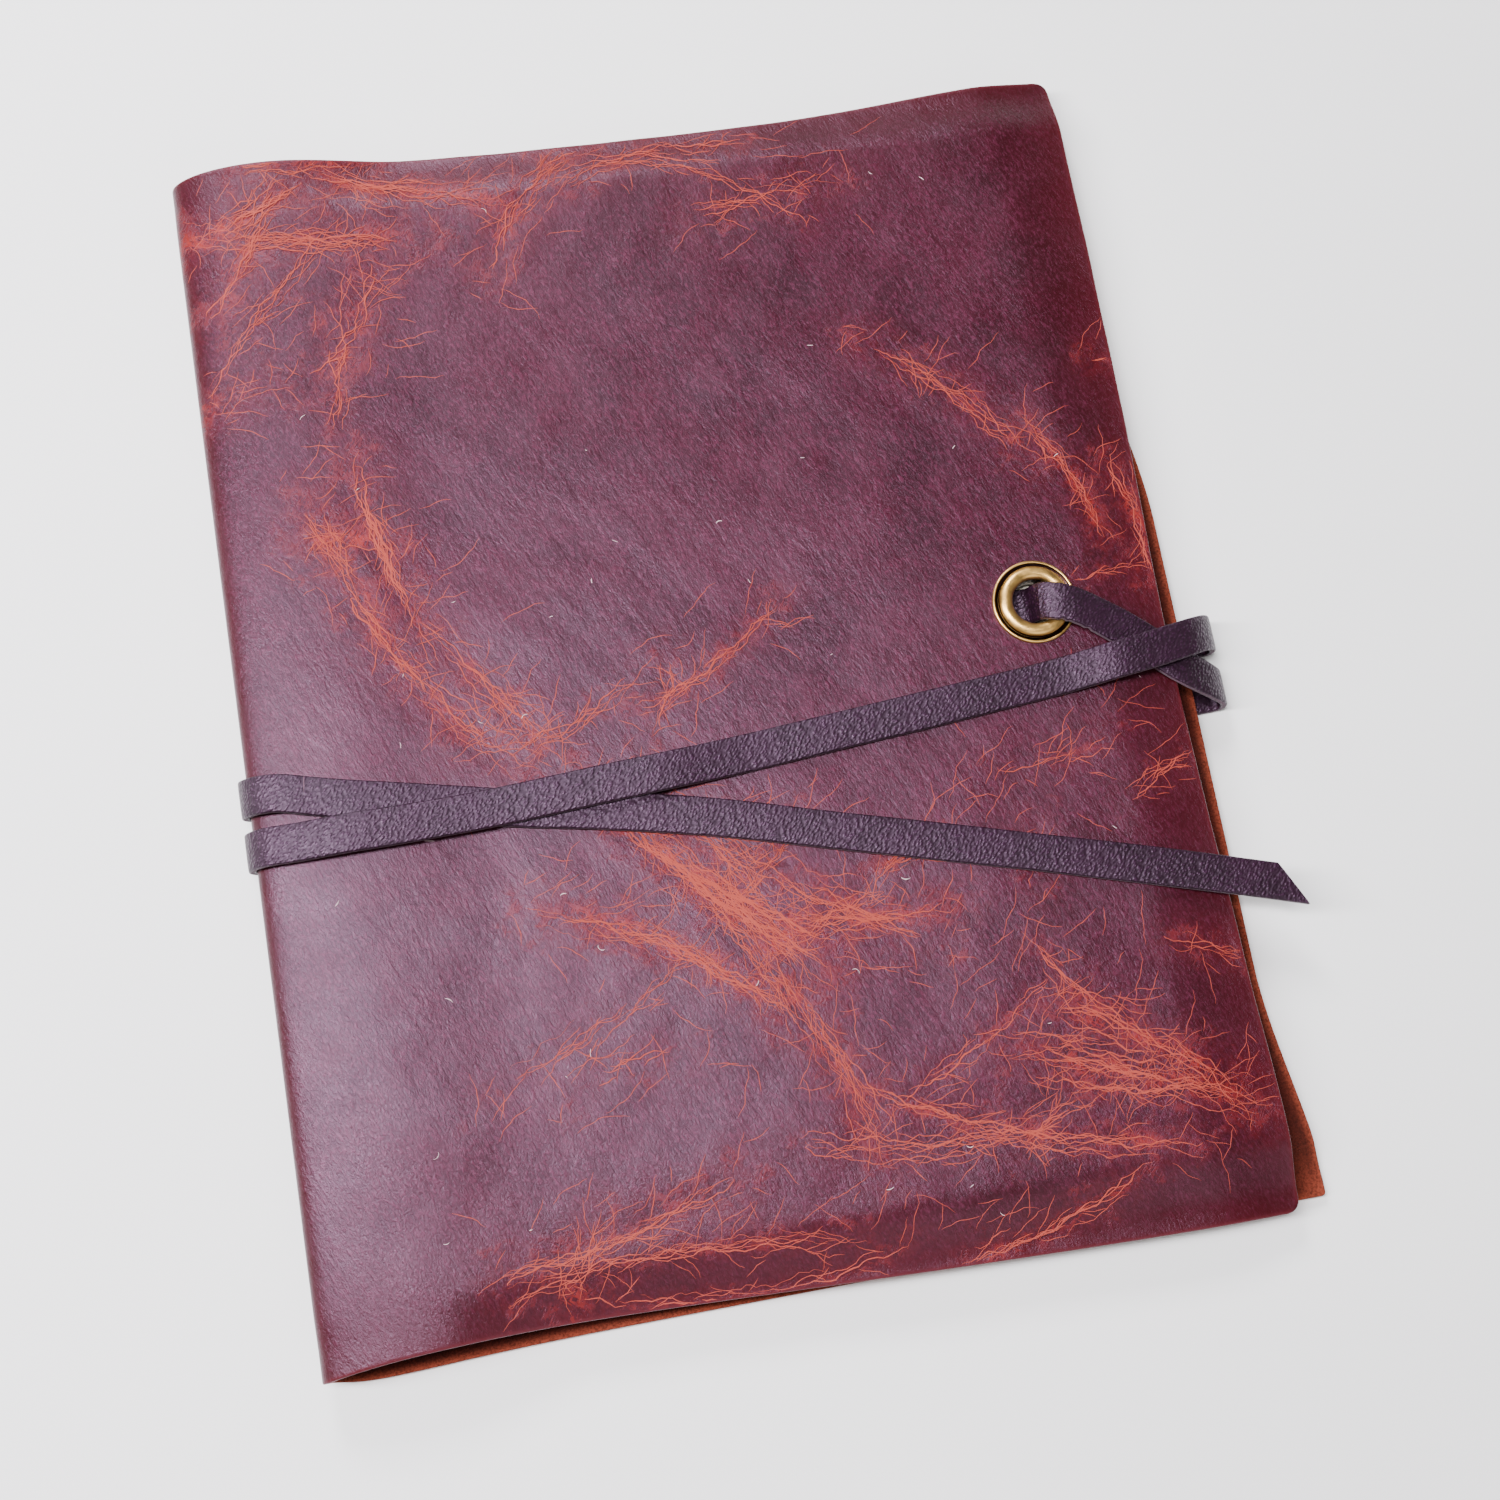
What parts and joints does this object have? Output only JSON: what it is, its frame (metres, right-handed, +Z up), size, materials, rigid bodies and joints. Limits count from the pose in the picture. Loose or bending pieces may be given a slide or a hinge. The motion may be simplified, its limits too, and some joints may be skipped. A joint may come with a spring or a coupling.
{
  "type": "scrapbook album",
  "caption": "Leather wrap scrapbook album tied shut by a strap through a brass eyelet, with card leaves on screw posts that turn as the soft cover opens.",
  "frame": {"origin": "centre of the footprint of the closed album, without its tie strap, on the surface it lies on", "axes": "+X from the spine to the fore edge, +Y to the head of the album, +Z up through the front cover"},
  "size_m": [0.2588, 0.3084, 0.0214],
  "materials": {
    "oxblood_leather": "satin, distressed pull-up hide with rust crease lines and a suede flesh side",
    "strap_leather": "satin, fine pebble grain",
    "antique_brass": "worn antique brass",
    "page_card": "matte",
    "grey_board": "matte"
  },
  "bodies": {
    "back_cover": {"back_panel": "oxblood_leather", "leaf_01_margin": "page_card", "spacer_01": "grey_board", "leaf_02_margin": "page_card", "spacer_02": "grey_board", "leaf_03_margin": "page_card", "spacer_03": "grey_board", "leaf_04_margin": "page_card", "spacer_04": "grey_board", "leaf_05_margin": "page_card", "spacer_05": "grey_board", "leaf_06_margin": "page_card", "spacer_06": "grey_board", "leaf_07_margin": "page_card", "spacer_07": "grey_board", "leaf_08_margin": "page_card", "spacer_08": "grey_board", "leaf_09_margin": "page_card", "spacer_09": "grey_board", "leaf_10_margin": "page_card", "binding_strip": "strap_leather", "binding_post_foot": "antique_brass", "binding_screw_foot": "antique_brass", "binding_post_middle": "antique_brass", "binding_screw_middle": "antique_brass", "binding_post_head": "antique_brass", "binding_screw_head": "antique_brass"},
    "spine": {"spine_panel": "oxblood_leather"},
    "front_cover": {"front_panel": "oxblood_leather", "eyelet": "antique_brass", "eyelet_washer": "antique_brass", "tie_strap": "strap_leather"},
    "leaf_01": {"leaf_01": "page_card"},
    "leaf_02": {"leaf_02": "page_card"},
    "leaf_03": {"leaf_03": "page_card"},
    "leaf_04": {"leaf_04": "page_card"},
    "leaf_05": {"leaf_05": "page_card"},
    "leaf_06": {"leaf_06": "page_card"},
    "leaf_07": {"leaf_07": "page_card"},
    "leaf_08": {"leaf_08": "page_card"},
    "leaf_09": {"leaf_09": "page_card"},
    "leaf_10": {"leaf_10": "page_card"}
  },
  "joints": [
    {"name": "spine_fold", "type": "hinge", "parent": "back_cover", "child": "spine", "pos_m": [-0.1223, 0, 0.0032], "axis": [0, -1, 0], "range_deg": [0, 90], "deforming": ["tie_strap"]},
    {"name": "front_fold", "type": "hinge", "parent": "spine", "child": "front_cover", "pos_m": [-0.1223, 0, 0.0138], "axis": [0, -1, 0], "range_deg": [0, 90]},
    {"name": "leaf_01_turn", "type": "hinge", "parent": "back_cover", "child": "leaf_01", "pos_m": [-0.0752, 0, 0.00458], "axis": [0, -1, 0], "range_deg": [0, 12]},
    {"name": "leaf_02_turn", "type": "hinge", "parent": "back_cover", "child": "leaf_02", "pos_m": [-0.0764, 0, 0.00532], "axis": [0, -1, 0], "range_deg": [0, 25]},
    {"name": "leaf_03_turn", "type": "hinge", "parent": "back_cover", "child": "leaf_03", "pos_m": [-0.0776, 0, 0.00607], "axis": [0, -1, 0], "range_deg": [0, 38]},
    {"name": "leaf_04_turn", "type": "hinge", "parent": "back_cover", "child": "leaf_04", "pos_m": [-0.0788, 0, 0.00683], "axis": [0, -1, 0], "range_deg": [0, 51]},
    {"name": "leaf_05_turn", "type": "hinge", "parent": "back_cover", "child": "leaf_05", "pos_m": [-0.08, 0, 0.00758], "axis": [0, -1, 0], "range_deg": [0, 64]},
    {"name": "leaf_06_turn", "type": "hinge", "parent": "back_cover", "child": "leaf_06", "pos_m": [-0.0812, 0, 0.00833], "axis": [0, -1, 0], "range_deg": [0, 77]},
    {"name": "leaf_07_turn", "type": "hinge", "parent": "back_cover", "child": "leaf_07", "pos_m": [-0.0824, 0, 0.00907], "axis": [0, -1, 0], "range_deg": [0, 90]},
    {"name": "leaf_08_turn", "type": "hinge", "parent": "back_cover", "child": "leaf_08", "pos_m": [-0.0836, 0, 0.00983], "axis": [0, -1, 0], "range_deg": [0, 104]},
    {"name": "leaf_09_turn", "type": "hinge", "parent": "back_cover", "child": "leaf_09", "pos_m": [-0.0848, 0, 0.01057], "axis": [0, -1, 0], "range_deg": [0, 118]},
    {"name": "leaf_10_turn", "type": "hinge", "parent": "back_cover", "child": "leaf_10", "pos_m": [-0.086, 0, 0.01132], "axis": [0, -1, 0], "range_deg": [0, 132]}
  ],
  "couplings": [
    {"joint": "front_fold", "follows": "spine_fold", "ratio": 1},
    {"joint": "leaf_01_turn", "follows": "spine_fold", "ratio": 0.1333},
    {"joint": "leaf_02_turn", "follows": "spine_fold", "ratio": 0.2777},
    {"joint": "leaf_03_turn", "follows": "spine_fold", "ratio": 0.4222},
    {"joint": "leaf_04_turn", "follows": "spine_fold", "ratio": 0.5666},
    {"joint": "leaf_05_turn", "follows": "spine_fold", "ratio": 0.7111},
    {"joint": "leaf_06_turn", "follows": "spine_fold", "ratio": 0.8555},
    {"joint": "leaf_07_turn", "follows": "spine_fold", "ratio": 1},
    {"joint": "leaf_08_turn", "follows": "spine_fold", "ratio": 1.1555},
    {"joint": "leaf_09_turn", "follows": "spine_fold", "ratio": 1.3111},
    {"joint": "leaf_10_turn", "follows": "spine_fold", "ratio": 1.4666}
  ]
}
